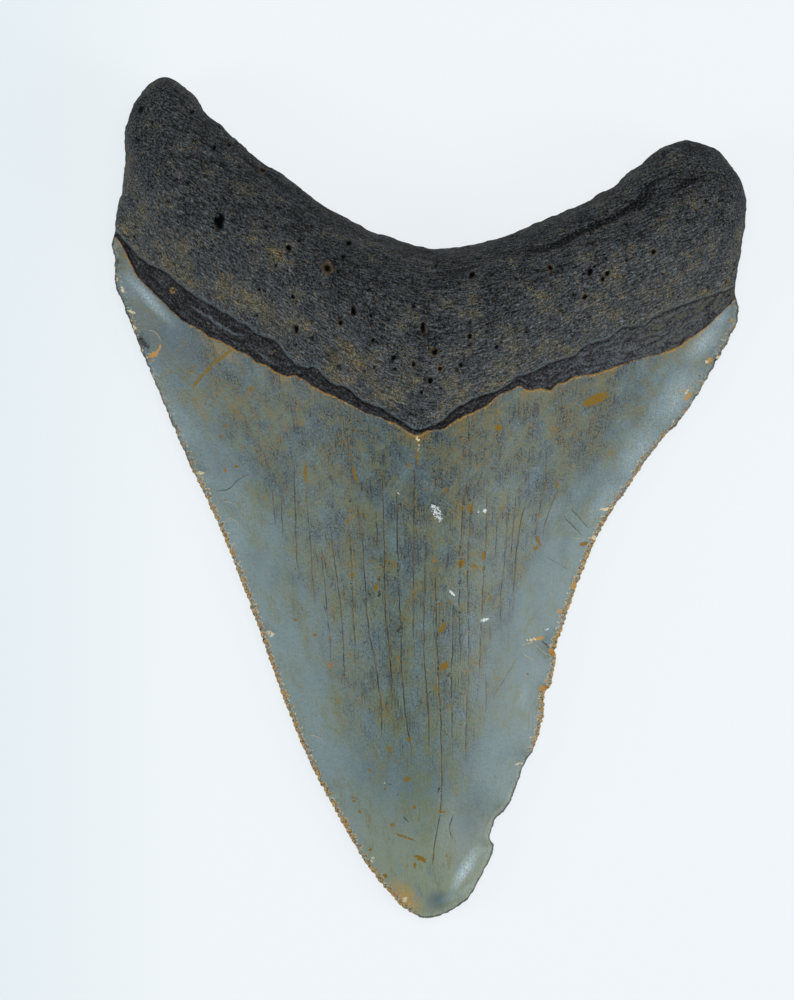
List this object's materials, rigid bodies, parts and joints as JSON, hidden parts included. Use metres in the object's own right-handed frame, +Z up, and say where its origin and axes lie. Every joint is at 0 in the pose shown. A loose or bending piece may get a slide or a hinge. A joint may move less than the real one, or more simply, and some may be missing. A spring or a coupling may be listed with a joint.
{
  "type": "megalodon tooth",
  "caption": "Fossil shark tooth with a broad serrated triangular crown, a chevron dental band and a two-lobed root, lying on its flat face.",
  "frame": {"origin": "middle of the tooth's bounding box, on the surface that the tooth lies on", "axes": "+X across the tooth towards its right shoulder seen from above, +Y from the tip to the root lobes, +Z up out of the lingual (bulging) face"},
  "size_m": [0.0892, 0.118, 0.0246],
  "materials": {
    "fossil_tooth": "grey-green to blue-grey satin enamel with fine cracks and ochre stains, near-black dull fibrous root and dental band"
  },
  "bodies": {
    "root": {"tooth": "fossil_tooth"}
  },
  "joints": []
}
